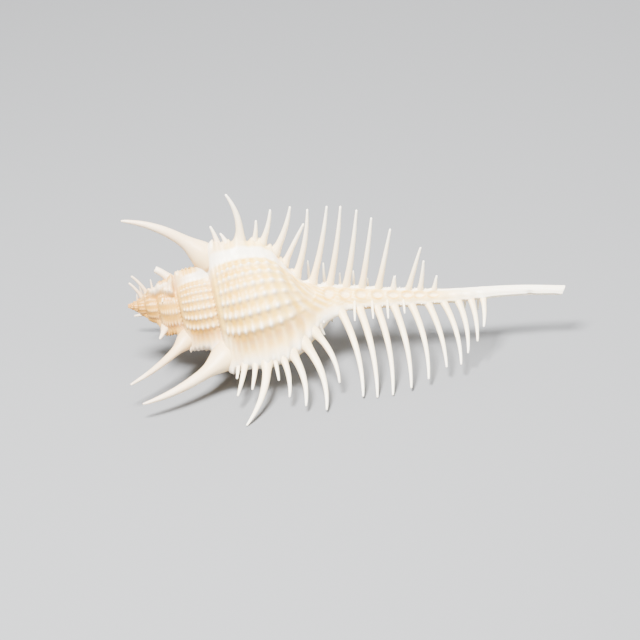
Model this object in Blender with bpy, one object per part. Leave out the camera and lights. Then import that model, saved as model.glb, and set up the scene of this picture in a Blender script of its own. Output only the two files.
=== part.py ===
"""Comb murex shell, one solid, resting on the tips of its spines.

Shell frame: s runs along the coiling axis from the apex to the end of the canal, in mm.
phi turns about that axis, in degrees; the shell grows towards smaller phi.
"""
import itertools
import math

import bpy
import bmesh
from mathutils import Matrix, Vector

MM = 0.001

# Whole shell, mm and degrees
LENGTH = 100.0
FRONT_SUTURE = 20.1
WHORL_RATIO = 1.69
LIP_THICKNESS = 1.1
LIP_WALL_TURN = 357.0
MASS_CENTRE_S = 30.0
CONTACT_GAP = 0.02
APEX_S = 0.25
APEX_SMOOTH = 4.0

# Outline of a whorl: (distance from the apex, radius), both as multiples of the suture's distance
BODY_OUTLINE = (
    (1.0, 0.43), (1.03, 0.53), (1.08, 0.60), (1.16, 0.66), (1.28, 0.705), (1.42, 0.715),
    (1.56, 0.705), (1.69, 0.676), (1.80, 0.61), (1.90, 0.51), (2.0, 0.395), (2.1, 0.29),
    (2.2, 0.20), (2.35, 0.11), (2.6, 0.03), (3.0, 0.0),
)
SPIRE_OUTLINE = (
    (1.0, 0.43), (1.03, 0.53), (1.08, 0.61), (1.16, 0.685), (1.28, 0.745), (1.42, 0.765),
    (1.56, 0.755), (1.69, 0.727), (1.80, 0.65), (1.90, 0.54), (2.0, 0.41), (2.1, 0.30),
    (2.2, 0.20), (2.35, 0.11), (2.6, 0.03), (3.0, 0.0),
)
SPIRE_BLEND = (100.0, 300.0)

# Outline of the canal: (distance from the apex, radius), mm
CANAL_OUTLINE = (
    (0.0, 0.30), (30.0, 2.4), (42.0, 2.9), (50.0, 2.55), (58.0, 2.1), (67.0, 1.7), (75.0, 1.42),
    (85.0, 1.22), (94.0, 1.08), (100.0, 1.0),
)
CANAL_SAG = ((0.0, 0.0), (46.0, 0.0), (68.0, -0.4), (90.0, 0.4), (100.0, 0.1))
CANAL_ZONE = (38.0, 46.0)

# Varices: phi of each crest at TWIST_S, and how crests, ribs and lip turn along the axis
VARIX_PHI = (69.0, -51.0, 189.0)
TWIST_S = 30.0
TWIST_PER_MM = 0.9
TWIST_ENDS = (3.0, 46.0)
LIP_FRONT = 20.0
VARIX_HEIGHT = 0.125
VARIX_EXTRA_ON_CANAL = 0.05
VARIX_FRONT = 17.0
VARIX_BACK = 15.0
VARIX_STEEPNESS = 2.2

# Upper end of each varix, which climbs on the whorl before it: its height and reach in suture distances
CLIMB_HEIGHT = 0.12
CLIMB_WIDTH = 10.0
CLIMB_SHIFT = 2.0
CLIMB_BEFORE = (1.38, 1.66)
CLIMB_AFTER = (1.0, 1.16)

# Axial ribs between two varices: the first one's distance from the varix and their spacing, degrees
RIB_START = 30.0
RIB_SPACING = 12.1
RIB_COUNT = 6
RIB_HEIGHT = 0.04

# Ledge on the front of the early whorls: its angle at its canal end, mm from the apex, turn, mm high
LEDGE_PHI = 22.0
LEDGE_ENDS = (3.8, 11.0)
LEDGE_TURN = 3.6
LEDGE_HEIGHT = 1.5
LEDGE_BACK = 55.0
LEDGE_FRONT = 6.0

# Aperture: its ends along the axis, mm, and how far back it runs, degrees
APERTURE = (23.0, 44.0)
APERTURE_DEPTH = 105.0
HOLLOW_TURNS = (-7.0, 0.0, 20.0, 40.0, 60.0, 80.0, 97.0)
HOLLOW_POINTS = 7
HOLLOW_FLOOR = 0.25
HOLLOW_END = 0.08

# Spines: root s, tip s, tip distance from the axis, bow towards the canal, width at the root; mm
SHOULDER_SPINES = ((19.9, -0.2, 20.9, 1.2, 3.6), (23.7, 3.7, 27.7, 1.0, 3.7), (16.8, 0.8, 18.5, 0.8, 3.1))
SPIRE_SPINES = (
    (1, 14.4, 0.9, 22.2, 0.5, 2.5), (0, 5.2, 1.4, 7.3, 0.3, 1.0), (1, 8.9, 7.5, 9.6, 0.1, 1.7),
    (2, 10.8, 3.4, 13.0, 0.6, 1.9), (0, 4.0, 0.8, 5.6, 0.2, 0.9),
)
BROKEN_SPINE = (0, 11.4, 6.9, 8.8, 0.2, 1.9)
UPPER_BODY_SPINES = (
    (21.7, 19.8, 18.8, 0.3, 1.5), (23.7, 22.0, 17.0, 0.2, 1.3), (26.0, 23.6, 26.4, 1.4, 2.2),
    (29.3, 30.2, 19.8, 0.2, 1.4), (30.7, 33.5, 22.3, 0.5, 1.7), (33.4, 38.0, 22.9, 0.7, 2.0),
    (35.7, 40.9, 18.6, 0.0, 1.6),
)
LIP_BODY_SPINES = (
    (25.4, 24.8, 21.5, 0.0, 1.2), (26.9, 24.9, 26.3, 0.2, 1.6), (29.2, 28.2, 24.7, 0.1, 1.5),
    (31.5, 26.8, 34.5, 1.6, 2.3), (33.2, 34.2, 22.4, 0.1, 1.2), (34.6, 36.5, 27.1, 0.8, 1.7),
    (36.4, 40.1, 29.7, 1.4, 2.1), (39.2, 44.7, 30.7, 1.9, 2.2), (41.6, 47.8, 23.0, 1.5, 1.9),
    (43.4, 44.8, 9.6, 0.0, 1.1),
)
REAR_BODY_SPINES = (
    (20.5, 19.5, 16.5, 0.0, 1.3), (23.0, 20.4, 25.0, 1.3, 2.0), (26.0, 26.4, 18.0, 0.0, 1.3),
    (28.0, 30.0, 21.5, 0.4, 1.6), (31.0, 34.5, 23.5, 0.7, 1.9), (34.5, 38.5, 19.5, 0.5, 1.7),
)
UPPER_CANAL_SPINES = (
    (38.3, 41.9, 22.1, 0.8, 1.8), (42.0, 46.3, 22.7, 0.5, 1.8), (46.1, 49.4, 22.6, 0.4, 1.7),
    (49.9, 53.0, 21.6, 0.3, 1.7), (53.5, 56.3, 19.7, 0.2, 1.6), (57.2, 60.5, 16.9, 0.1, 1.6),
    (60.8, 61.2, 5.3, 0.0, 1.4), (64.0, 67.3, 12.3, 0.0, 1.4), (66.8, 67.9, 9.0, 0.1, 1.3),
    (70.0, 70.8, 5.2, 0.0, 1.2),
)
LIP_CANAL_SPINES = (
    (48.2, 53.0, 26.0, 1.4, 1.9), (52.5, 56.2, 26.3, 1.1, 1.9), (56.5, 59.7, 25.7, 1.2, 1.8),
    (60.4, 63.9, 23.9, 1.1, 1.8), (64.4, 67.9, 21.7, 1.2, 1.7), (68.2, 72.1, 18.8, 0.9, 1.7),
    (71.7, 75.4, 18.4, 1.1, 1.6), (75.1, 77.1, 15.5, 0.9, 1.6), (78.2, 79.4, 12.6, 0.5, 1.5),
    (81.1, 81.0, 8.9, 0.3, 1.4),
)
REAR_CANAL_SPINES = (
    (38.0, 41.0, 21.0, 0.6, 1.8), (42.0, 45.4, 21.8, 0.5, 1.8), (46.0, 49.2, 21.5, 0.5, 1.7),
    (50.0, 53.0, 20.5, 0.4, 1.7), (54.0, 56.6, 18.6, 0.4, 1.6), (58.0, 60.4, 16.2, 0.3, 1.6),
    (62.0, 64.0, 13.6, 0.2, 1.5), (66.0, 67.4, 10.4, 0.1, 1.4), (69.3, 70.4, 6.6, 0.0, 1.2),
)
# Short spines beside each row: varix, root s, tip s, tip distance from the axis, width; mm
SHORT_SPINES = (
    (0, 48.6, 48.8, 5.2, 0.9), (0, 52.0, 51.8, 7.6, 1.0), (0, 55.9, 56.0, 6.9, 1.0),
    (0, 59.4, 59.4, 6.9, 1.0), (0, 63.0, 63.2, 5.2, 0.9),
    (1, 47.0, 46.7, 8.3, 1.0), (1, 77.2, 77.2, 4.6, 0.8), (1, 80.2, 80.2, 5.8, 0.8),
    (2, 42.0, 41.6, 9.0, 1.1), (2, 45.4, 45.1, 8.4, 1.1), (2, 48.8, 48.8, 6.0, 0.9),
    (2, 52.0, 51.9, 6.4, 0.9), (2, 55.2, 55.1, 4.6, 0.9),
)
SPINE_PHI = (67.0, -53.0, 187.0)
CANAL_SPINE_PHI = (67.0, -58.0, 188.0)
SHORT_SPINE_LEAN = (-125.0, -105.0, -105.0)
SHORT_SPINE_ROOT = -42.0
TIP_RADIUS = 0.28
SHORT_TIP_RADIUS = 0.22
BROKEN_TIP_RADIUS = 0.75
ROOT_DEPTH = 0.5
ROOT_SINK = 0.4
SPINE_TAPER = 0.8
SPINE_ARCH = 0.35
LONG_SPINE = 8.0

# Fineness of the mesh
SPIRE_ROWS = (1.2, 2.6, 4.2, 5.8, 7.4, 9.0, 10.5)
BODY_ROW_STEP = 1.4
BODY_END = 45.0
CANAL_ROW_STEP = 4.2
APEX_COLUMNS = 15
SPIRE_COLUMNS = 30
BODY_COLUMNS = 54
CANAL_COLUMNS = 12
SPINE_SIDES = 5


def clear_scene():
    """Remove what a new Blender file holds."""
    for thing in list(bpy.data.objects):
        bpy.data.objects.remove(thing, do_unlink=True)


def read_outline(points, x):
    """Smooth curve through an outline's points (monotone cubic)."""
    if x <= points[0][0]:
        return points[0][1]
    if x >= points[-1][0]:
        return points[-1][1]
    i = max(k for k in range(len(points) - 1) if points[k][0] <= x)
    slopes = [(b[1] - a[1]) / (b[0] - a[0]) for a, b in zip(points, points[1:])]

    def tangent(k):
        if k == 0:
            return slopes[0]
        if k == len(points) - 1:
            return slopes[-1]
        before, after = slopes[k - 1], slopes[k]
        return 0.0 if before * after <= 0 else 2 * before * after / (before + after)

    (x0, y0), (x1, y1) = points[i], points[i + 1]
    h = x1 - x0
    t = (x - x0) / h
    return (y0 * (1 + 2 * t) * (1 - t) ** 2 + h * tangent(i) * t * (1 - t) ** 2
            + y1 * t * t * (3 - 2 * t) + h * tangent(i + 1) * t * t * (t - 1))


def suture(phi):
    """Distance of the suture from the apex at an unwound angle."""
    return FRONT_SUTURE * WHORL_RATIO ** (-phi / 360.0)


def unwind(s, phi):
    """The unwound angle of the whorl that shows at s."""
    lip = lip_phi(s)
    phi = lip + (phi - lip) % 360.0
    while s < suture(phi):
        phi += 360.0
    return phi


def crest(varix, s):
    """Angle of a varix crest at s, within one turn."""
    start, end = TWIST_ENDS
    return VARIX_PHI[varix] + TWIST_PER_MM * (min(end, max(start, s)) - TWIST_S)


def lip_phi(s):
    """Angle of the outer lip's edge at s, just in front of the last varix."""
    return crest(1, s) - LIP_FRONT


def wrap(angle):
    """Angle brought to -180..180."""
    return (angle + 180.0) % 360.0 - 180.0


def plain_radius(s, phi):
    """Radius of the smooth whorl and canal, with no sculpture, at an unwound angle."""
    start = suture(phi)
    share = min(1.0, max(0.0, (phi - SPIRE_BLEND[0]) / (SPIRE_BLEND[1] - SPIRE_BLEND[0])))
    body = read_outline(BODY_OUTLINE, s / start)
    spire = read_outline(SPIRE_OUTLINE, s / start)
    whorl = start * (body + (spire - body) * share)
    canal = read_outline(CANAL_OUTLINE, s)
    return (whorl ** 3 + canal ** 3) ** (1 / 3)


def sculpture(s, phi):
    """Height of the varices and ribs, as a share of the radius."""
    varix = 0.0
    for k in range(3):
        away = wrap(phi - crest(k, s))
        reach = VARIX_BACK if away > 0 else VARIX_FRONT
        varix = max(varix, math.exp(-((away / reach) ** 2) * VARIX_STEEPNESS))
    behind = (phi - crest(1, s)) % 120.0
    rib_place = (behind - RIB_START) / RIB_SPACING
    rib = 0.5 + 0.5 * math.cos(2 * math.pi * rib_place)
    if not -0.5 < rib_place < RIB_COUNT - 0.5:
        rib = 0.0
    start, end = CANAL_ZONE
    on_canal = min(1.0, max(0.0, (s - start) / (end - start)))
    share = (VARIX_HEIGHT + VARIX_EXTRA_ON_CANAL * on_canal) * varix + RIB_HEIGHT * rib * (1 - on_canal)
    return share * min(1.0, s / APEX_SMOOTH)


def ledge(s, phi):
    """Height of the ledge on the early whorls, mm."""
    start, end = LEDGE_ENDS
    if not start < s < end:
        return 0.0
    away = wrap(phi - LEDGE_PHI - LEDGE_TURN * (end - s))
    reach = LEDGE_BACK if away > 0 else LEDGE_FRONT
    return LEDGE_HEIGHT * s / end * math.exp(-((away / reach) ** 2))


def smooth(low, high, x):
    """0 below low, 1 above high, smooth between."""
    t = min(1.0, max(0.0, (x - low) / (high - low)))
    return t * t * (3 - 2 * t)


def climb(s, phi):
    """Height of the upper end of the nearest varix, mm."""
    away = min(abs(wrap(phi - crest(k, s) + CLIMB_SHIFT)) for k in range(3))
    start = suture(phi)
    height = start * (1 - smooth(*CLIMB_AFTER, s / start))
    if phi >= lip_phi(s) + 360.0:
        height += start * WHORL_RATIO * smooth(*CLIMB_BEFORE, s / start)
    return CLIMB_HEIGHT * height * math.exp(-((away / CLIMB_WIDTH) ** 2)) * min(1.0, s / APEX_SMOOTH)


def radius(s, phi):
    """Radius of the finished surface at an unwound angle, mm."""
    return plain_radius(s, phi) * (1.0 + sculpture(s, phi)) + ledge(s, phi) + climb(s, phi)


def place(s, phi, distance):
    """Point in the shell frame: x along the axis, y and z about it."""
    turn = math.radians(phi)
    sag = read_outline(CANAL_SAG, s)
    return Vector((s, -distance * math.cos(turn), distance * math.sin(turn) + sag))


def whorl_ring(s, columns):
    """One closed section of the whorls at s, from the lip round to the wall behind it."""
    ring = []
    for i in range(columns):
        phi = lip_phi(s) + 360.0 * i / columns
        ring.append(place(s, phi, radius(s, unwind(s, phi))))
    behind = lip_phi(s) + LIP_WALL_TURN
    ring.append(place(s, behind, radius(s, unwind(s, behind))))
    return ring


def canal_ring(s):
    """One closed section of the canal at s, with a column on each varix."""
    ring = []
    for i in range(CANAL_COLUMNS):
        phi = crest(1, s) + 360.0 * i / CANAL_COLUMNS
        ring.append(place(s, phi, radius(s, phi)))
    return ring


def hollow_sections():
    """Sections of the aperture's hollow, from outside the mouth to its blind end."""
    sections = []
    for turn in HOLLOW_TURNS:
        back = max(turn, 0.0)
        shrink = WHORL_RATIO ** (-back / 360.0)
        close = math.sqrt(1 - (back / APERTURE_DEPTH) ** 2)
        middle = sum(APERTURE) / 2 * shrink
        half = (APERTURE[1] - APERTURE[0]) / 2 * shrink * close
        outer_line, inner_line = [], []
        for k in range(HOLLOW_POINTS):
            share = k / (HOLLOW_POINTS - 1)
            s = middle - half * math.cos(math.pi * share)
            phi = lip_phi(s) + back
            outer = radius(s, phi) - LIP_THICKNESS
            inner = radius(s, unwind(s, phi + turn)) if turn < 0 else plain_radius(s, phi + 360.0)
            inner += HOLLOW_FLOOR
            width = math.sin(math.pi * (HOLLOW_END + (1 - 2 * HOLLOW_END) * share))
            spread = max(HOLLOW_FLOOR, (outer - inner) / 2) * width
            outer_line.append(place(s, phi - back + turn, (outer + inner) / 2 + spread))
            inner_line.append(place(s, phi - back + turn, (outer + inner) / 2 - spread))
        sections.append(outer_line + inner_line[::-1])
    return sections


def spine_direction(varix, s):
    """Angle in which a long spine of a varix points."""
    start, end = CANAL_ZONE
    share = min(1.0, max(0.0, (s - start) / (end - start)))
    return SPINE_PHI[varix] * (1 - share) + CANAL_SPINE_PHI[varix] * share


def long_spine(varix, root_s, tip_s, tip_distance, bow, width, tip_radius=TIP_RADIUS):
    """Centre line and radii of a long spine, as (points, radii)."""
    root_phi = crest(varix, root_s)
    root_distance = radius(root_s, unwind(root_s, root_phi)) - ROOT_SINK * width - ROOT_DEPTH
    root = place(root_s, root_phi, root_distance)
    tip = place(tip_s, spine_direction(varix, root_s), tip_distance)
    length = (tip - root).length
    along = (tip - root).normalized()
    outward = Vector((0, root.y, root.z)).normalized()
    side = (Vector((1, 0, 0)) - along * along.x).normalized()
    arch = SPINE_ARCH * (1 - along.dot(outward)) * length
    points, radii = [], []
    steps = 4 if length > LONG_SPINE else 2
    for k in range(steps + 1):
        t = k / steps
        bend = (side * bow * 4 + outward * arch) * t * (1 - t)
        points.append(root.lerp(tip, t) + bend)
        radii.append(tip_radius + (width / 2 - tip_radius) * (1 - t) ** SPINE_TAPER)
    return points, radii


def short_spine(varix, root_s, tip_s, tip_distance, width):
    """Centre line and radii of a short spine beside a varix of the canal."""
    root_phi = crest(varix, root_s) + SHORT_SPINE_ROOT
    root_distance = radius(root_s, unwind(root_s, root_phi)) - ROOT_SINK * width - ROOT_DEPTH
    root = place(root_s, root_phi, root_distance)
    tip = place(tip_s, crest(varix, root_s) + SHORT_SPINE_LEAN[varix], tip_distance)
    points = [root, root.lerp(tip, 0.5), tip]
    return points, [width / 2, (width / 2 + SHORT_TIP_RADIUS) / 2, SHORT_TIP_RADIUS]


def all_spines():
    """Every spine of the shell."""
    spines = []
    for varix, row in enumerate(SHOULDER_SPINES):
        spines.append(long_spine(varix, *row))
    for row in SPIRE_SPINES:
        spines.append(long_spine(*row))
    spines.append(long_spine(*BROKEN_SPINE, tip_radius=BROKEN_TIP_RADIUS))
    rows = (
        UPPER_BODY_SPINES + UPPER_CANAL_SPINES,
        LIP_BODY_SPINES + LIP_CANAL_SPINES,
        REAR_BODY_SPINES + REAR_CANAL_SPINES,
    )
    for varix, row in enumerate(rows):
        spines += [long_spine(varix, *spine) for spine in row]
    spines += [short_spine(*row) for row in SHORT_SPINES]
    return spines


def skin_rings(bm, rings):
    """Close a stack of rings, of any counts, into one skin with a fan at each end."""
    loops = [[bm.verts.new(point) for point in ring] for ring in rings]
    for lower, upper in zip(loops, loops[1:]):
        i = j = 0
        while i < len(lower) or j < len(upper):
            here, there = lower[i % len(lower)], upper[j % len(upper)]
            if (i + 1) * len(upper) <= (j + 1) * len(lower) and i < len(lower):
                bm.faces.new((here, lower[(i + 1) % len(lower)], there))
                i += 1
            else:
                bm.faces.new((here, upper[(j + 1) % len(upper)], there))
                j += 1
    for loop in (loops[0], loops[-1]):
        middle = bm.verts.new(sum((v.co for v in loop), Vector()) / len(loop))
        for a, b in zip(loop, loop[1:] + loop[:1]):
            bm.faces.new((a, b, middle))
    bmesh.ops.recalc_face_normals(bm, faces=bm.faces)


def new_solid(name, rings):
    """A mesh object made from a stack of rings, in metres."""
    bm = bmesh.new()
    skin_rings(bm, rings)
    bmesh.ops.scale(bm, vec=(MM, MM, MM), verts=bm.verts)
    mesh = bpy.data.meshes.new(name)
    bm.to_mesh(mesh)
    bm.free()
    thing = bpy.data.objects.new(name, mesh)
    bpy.context.scene.collection.objects.link(thing)
    return thing


def shell_rings():
    """Sections from the apex to the end of the canal."""
    rings = [whorl_ring(APEX_S, APEX_COLUMNS), whorl_ring(SPIRE_ROWS[0], APEX_COLUMNS)]
    rings += [whorl_ring(s, SPIRE_COLUMNS) for s in SPIRE_ROWS[1:]]
    count = round((BODY_END - SPIRE_ROWS[-1]) / BODY_ROW_STEP)
    for k in range(1, count + 1):
        rings.append(whorl_ring(SPIRE_ROWS[-1] + (BODY_END - SPIRE_ROWS[-1]) * k / count, BODY_COLUMNS))
    count = round((LENGTH - BODY_END) / CANAL_ROW_STEP)
    for k in range(1, count + 1):
        rings.append(canal_ring(BODY_END + (LENGTH - BODY_END) * k / count))
    return rings


def tube_rings(points, radii):
    """Rings of a tapered tube about a centre line."""
    rings = []
    first = (points[1] - points[0]).normalized()
    guide = first.orthogonal().normalized()
    for k, centre in enumerate(points):
        along = (points[min(k + 1, len(points) - 1)] - points[max(k - 1, 0)]).normalized()
        guide = (guide - along * guide.dot(along)).normalized()
        other = along.cross(guide)
        ring = []
        for i in range(SPINE_SIDES):
            turn = 2 * math.pi * i / SPINE_SIDES
            ring.append(centre + (guide * math.cos(turn) + other * math.sin(turn)) * radii[k])
        rings.append(ring)
    return rings


def rest_matrix():
    """Turn that lays the shell on three of its spine tips, canal towards +X."""
    tips = [points[-1] for points, radii in all_spines()]
    mass = place(MASS_CENTRE_S, 0.0, 0.0)
    best = None
    for trio in itertools.combinations([p for p in tips if p.z < 0], 3):
        normal = (trio[1] - trio[0]).cross(trio[2] - trio[0])
        if normal.length < 1.0:
            continue
        normal.normalize()
        if normal.z < 0:
            normal.negate()
        level = normal.dot(trio[0])
        if any(normal.dot(p) < level - CONTACT_GAP for p in tips):
            continue
        inside = all(
            normal.dot((b - a).cross(mass - a)) * normal.dot((b - a).cross(c - a)) > 0
            for a, b, c in (trio, trio[1:] + trio[:1], trio[2:] + trio[:2])
        )
        if inside and (best is None or normal.z > best.z):
            best = normal
    spin = best.rotation_difference(Vector((0, 0, 1))).to_matrix()
    heading = spin @ Vector((1, 0, 0))
    return Matrix.Rotation(-math.atan2(heading.y, heading.x), 3, "Z") @ spin


def settle(thing):
    """Put the shell down on its contact plane with the origin under its box's centre."""
    spin = rest_matrix().to_4x4()
    thing.data.transform(spin)
    low = [min(v.co[i] for v in thing.data.vertices) for i in range(3)]
    high = [max(v.co[i] for v in thing.data.vertices) for i in range(3)]
    shift = Vector((-(low[0] + high[0]) / 2, -(low[1] + high[1]) / 2, -low[2]))
    thing.data.transform(Matrix.Translation(shift))


def boolean(target, cutter, operation):
    """Apply one exact Boolean and remove the other body."""
    change = target.modifiers.new(operation.title(), "BOOLEAN")
    change.operation = operation
    change.object = cutter
    change.solver = "EXACT"
    done = bpy.data.meshes.new_from_object(target.evaluated_get(bpy.context.evaluated_depsgraph_get()))
    target.modifiers.clear()
    target.data = done
    bpy.data.objects.remove(cutter, do_unlink=True)


def shell_material():
    """Cream white shell."""
    material = bpy.data.materials.new("shell_white")
    material.use_nodes = True
    finish = material.node_tree.nodes["Principled BSDF"]
    finish.inputs["Base Color"].default_value = (0.84, 0.76, 0.64, 1.0)
    finish.inputs["Roughness"].default_value = 0.42
    finish.inputs["Metallic"].default_value = 0.0
    return material


def make_shell():
    """Whorls, canal and spines as one solid."""
    shell = new_solid("shell", shell_rings())
    boolean(shell, new_solid("hollow", hollow_sections()), "DIFFERENCE")
    for points, radii in all_spines():
        boolean(shell, new_solid("spine", tube_rings(points, radii)), "UNION")
    settle(shell)
    shell.data.materials.clear()
    shell.data.materials.append(shell_material())
    shell.data.shade_smooth()
    shell.data.set_sharp_from_angle(angle=math.radians(50))
    return shell


clear_scene()
make_shell()
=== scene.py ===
"""Looks of the comb murex shell: fine sculpture, spines, material, light and camera.

The shell is built in its own frame: s runs along the coiling axis from the apex, in mm, and phi turns
about that axis, in degrees. The shell grows towards smaller phi. rest_matrix() then lays it down
where the CAD shell lies.
"""

import itertools
import math

import bpy
import numpy as np
from mathutils import Matrix, Vector


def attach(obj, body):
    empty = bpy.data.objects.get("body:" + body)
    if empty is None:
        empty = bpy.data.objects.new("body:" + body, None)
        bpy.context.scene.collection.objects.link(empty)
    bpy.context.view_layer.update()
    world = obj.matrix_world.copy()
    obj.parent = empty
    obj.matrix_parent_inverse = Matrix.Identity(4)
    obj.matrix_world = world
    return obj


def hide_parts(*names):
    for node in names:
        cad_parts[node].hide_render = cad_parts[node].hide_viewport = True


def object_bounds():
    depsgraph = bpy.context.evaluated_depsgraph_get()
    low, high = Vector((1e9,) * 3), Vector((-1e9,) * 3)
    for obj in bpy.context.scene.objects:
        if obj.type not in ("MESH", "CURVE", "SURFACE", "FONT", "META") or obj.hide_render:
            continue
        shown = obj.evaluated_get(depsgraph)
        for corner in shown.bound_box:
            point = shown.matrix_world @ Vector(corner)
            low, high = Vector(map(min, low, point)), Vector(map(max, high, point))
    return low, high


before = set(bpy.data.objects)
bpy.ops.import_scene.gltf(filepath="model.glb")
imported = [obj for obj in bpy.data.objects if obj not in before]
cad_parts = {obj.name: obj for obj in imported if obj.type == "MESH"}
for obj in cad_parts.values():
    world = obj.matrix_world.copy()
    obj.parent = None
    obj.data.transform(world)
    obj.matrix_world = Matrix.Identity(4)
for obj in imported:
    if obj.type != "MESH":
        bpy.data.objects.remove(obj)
CAD_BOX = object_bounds()
MM = 0.001

# Driving dimensions, repeated from the part: mm and degrees
LENGTH = 100.0
FRONT_SUTURE = 20.1
WHORL_RATIO = 1.69
MASS_CENTRE_S = 30.0
BODY_OUTLINE = (
    (1.0, 0.43), (1.03, 0.53), (1.08, 0.60), (1.16, 0.66), (1.28, 0.705), (1.42, 0.715),
    (1.56, 0.705), (1.69, 0.676), (1.80, 0.61), (1.90, 0.51), (2.0, 0.395), (2.1, 0.29),
    (2.2, 0.20), (2.35, 0.11), (2.6, 0.03), (3.0, 0.0),
)
SPIRE_OUTLINE = (
    (1.0, 0.43), (1.03, 0.53), (1.08, 0.61), (1.16, 0.685), (1.28, 0.745), (1.42, 0.765),
    (1.56, 0.755), (1.69, 0.727), (1.80, 0.65), (1.90, 0.54), (2.0, 0.41), (2.1, 0.30),
    (2.2, 0.20), (2.35, 0.11), (2.6, 0.03), (3.0, 0.0),
)
SPIRE_BLEND = (100.0, 300.0)
CANAL_OUTLINE = (
    (0.0, 0.30), (30.0, 2.4), (42.0, 2.9), (50.0, 2.55), (58.0, 2.1), (67.0, 1.7), (75.0, 1.42),
    (85.0, 1.22), (94.0, 1.08), (100.0, 1.0),
)
CANAL_SAG = ((0.0, 0.0), (46.0, 0.0), (68.0, -0.4), (90.0, 0.4), (100.0, 0.1))
VARIX_PHI = (69.0, -51.0, 189.0)
TWIST_S = 30.0
TWIST_PER_MM = 0.9
TWIST_ENDS = (3.0, 46.0)
LIP_FRONT = 20.0
LIP_THICKNESS = 1.1
APERTURE = (23.0, 44.0)
APERTURE_DEPTH = 105.0
SPINE_PHI = (67.0, -53.0, 187.0)
CANAL_SPINE_PHI = (67.0, -58.0, 188.0)
SHORT_SPINE_LEAN = (-125.0, -105.0, -105.0)
SHORT_SPINE_ROOT = -42.0
TIP_RADIUS = 0.28
SHORT_TIP_RADIUS = 0.22
BROKEN_TIP_RADIUS = 0.75
ROOT_DEPTH = 0.5
ROOT_SINK = 0.4
SPINE_TAPER = 0.8
SPINE_ARCH = 0.35
CANAL_ZONE = (38.0, 46.0)
SNAPPED_SPINE = (0, 60.8)

# Spines: root s, tip s, tip distance from the axis, bow towards the canal, width at the root; mm
SHOULDER_SPINES = (
    (19.9, -0.2, 20.9, 1.2, 3.6), (23.7, 3.7, 27.7, 1.0, 3.7), (16.8, 0.8, 18.5, 0.8, 3.1),
)
SPIRE_SPINES = (
    (1, 14.4, 0.9, 22.2, 0.5, 2.5), (0, 5.2, 1.4, 7.3, 0.3, 1.0), (1, 8.9, 7.5, 9.6, 0.1, 1.7),
    (2, 10.8, 3.4, 13.0, 0.6, 1.9), (0, 4.0, 0.8, 5.6, 0.2, 0.9),
)
BROKEN_SPINE = (0, 11.4, 6.9, 8.8, 0.2, 1.9)
UPPER_BODY_SPINES = (
    (21.7, 19.8, 18.8, 0.3, 1.5), (23.7, 22.0, 17.0, 0.2, 1.3), (26.0, 23.6, 26.4, 1.4, 2.2),
    (29.3, 30.2, 19.8, 0.2, 1.4), (30.7, 33.5, 22.3, 0.5, 1.7), (33.4, 38.0, 22.9, 0.7, 2.0),
    (35.7, 40.9, 18.6, 0.0, 1.6),
)
LIP_BODY_SPINES = (
    (25.4, 24.8, 21.5, 0.0, 1.2), (26.9, 24.9, 26.3, 0.2, 1.6), (29.2, 28.2, 24.7, 0.1, 1.5),
    (31.5, 26.8, 34.5, 1.6, 2.3), (33.2, 34.2, 22.4, 0.1, 1.2), (34.6, 36.5, 27.1, 0.8, 1.7),
    (36.4, 40.1, 29.7, 1.4, 2.1), (39.2, 44.7, 30.7, 1.9, 2.2), (41.6, 47.8, 23.0, 1.5, 1.9),
    (43.4, 44.8, 9.6, 0.0, 1.1),
)
REAR_BODY_SPINES = (
    (20.5, 19.5, 16.5, 0.0, 1.3), (23.0, 20.4, 25.0, 1.3, 2.0), (26.0, 26.4, 18.0, 0.0, 1.3),
    (28.0, 30.0, 21.5, 0.4, 1.6), (31.0, 34.5, 23.5, 0.7, 1.9), (34.5, 38.5, 19.5, 0.5, 1.7),
)
UPPER_CANAL_SPINES = (
    (38.3, 41.9, 22.1, 0.8, 1.8), (42.0, 46.3, 22.7, 0.5, 1.8), (46.1, 49.4, 22.6, 0.4, 1.7),
    (49.9, 53.0, 21.6, 0.3, 1.7), (53.5, 56.3, 19.7, 0.2, 1.6), (57.2, 60.5, 16.9, 0.1, 1.6),
    (60.8, 61.2, 5.3, 0.0, 1.4), (64.0, 67.3, 12.3, 0.0, 1.4), (66.8, 67.9, 9.0, 0.1, 1.3),
    (70.0, 70.8, 5.2, 0.0, 1.2),
)
LIP_CANAL_SPINES = (
    (48.2, 53.0, 26.0, 1.4, 1.9), (52.5, 56.2, 26.3, 1.1, 1.9), (56.5, 59.7, 25.7, 1.2, 1.8),
    (60.4, 63.9, 23.9, 1.1, 1.8), (64.4, 67.9, 21.7, 1.2, 1.7), (68.2, 72.1, 18.8, 0.9, 1.7),
    (71.7, 75.4, 18.4, 1.1, 1.6), (75.1, 77.1, 15.5, 0.9, 1.6), (78.2, 79.4, 12.6, 0.5, 1.5),
    (81.1, 81.0, 8.9, 0.3, 1.4),
)
REAR_CANAL_SPINES = (
    (38.0, 41.0, 21.0, 0.6, 1.8), (42.0, 45.4, 21.8, 0.5, 1.8), (46.0, 49.2, 21.5, 0.5, 1.7),
    (50.0, 53.0, 20.5, 0.4, 1.7), (54.0, 56.6, 18.6, 0.4, 1.6), (58.0, 60.4, 16.2, 0.3, 1.6),
    (62.0, 64.0, 13.6, 0.2, 1.5), (66.0, 67.4, 10.4, 0.1, 1.4), (69.3, 70.4, 6.6, 0.0, 1.2),
)
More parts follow.
